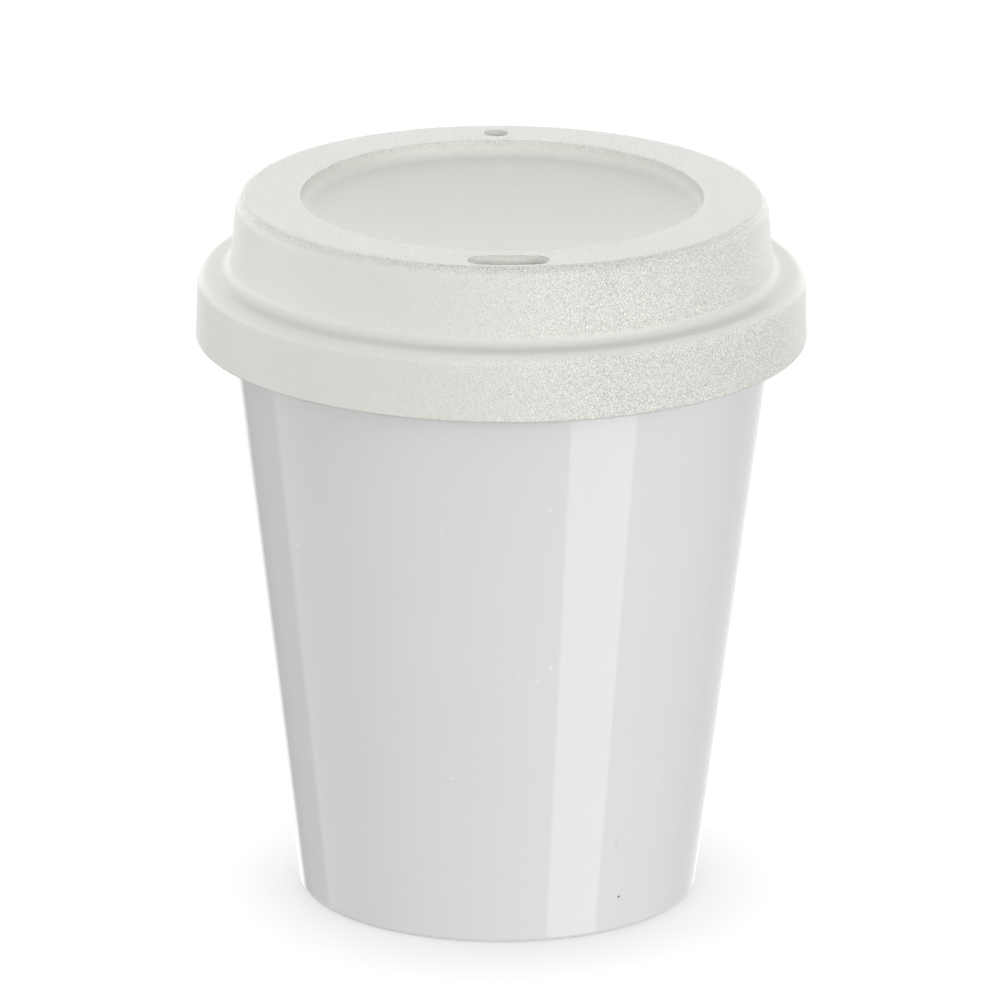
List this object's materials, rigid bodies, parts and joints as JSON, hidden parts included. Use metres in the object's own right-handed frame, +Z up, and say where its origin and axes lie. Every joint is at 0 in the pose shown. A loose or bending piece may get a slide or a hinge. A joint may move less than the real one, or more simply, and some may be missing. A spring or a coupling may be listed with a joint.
{
  "type": "plastic cup",
  "caption": "Tapered plastic drinking cup with a press-on lid that has a raised ring, a round dish, a drinking slot and a vent.",
  "frame": {"origin": "middle of the ring face that the cup stands on", "axes": "+Z up along the cup's axis; -Y towards the drinking slot, +Y towards the vent; +X to the right when the slot faces the viewer"},
  "size_m": [0.092, 0.092, 0.1085],
  "materials": {
    "cup_plastic": "smooth glossy white plastic",
    "lid_plastic": "fine-grained satin plastic, off-white with a faint green-yellow tint"
  },
  "bodies": {
    "cup": {"cup": "cup_plastic"},
    "lid": {"lid": "lid_plastic"}
  },
  "joints": [
    {"name": "lid_lift", "type": "slide", "parent": "cup", "child": "lid", "axis": [0, 0, 1], "range_m": [0, 0.04]}
  ]
}
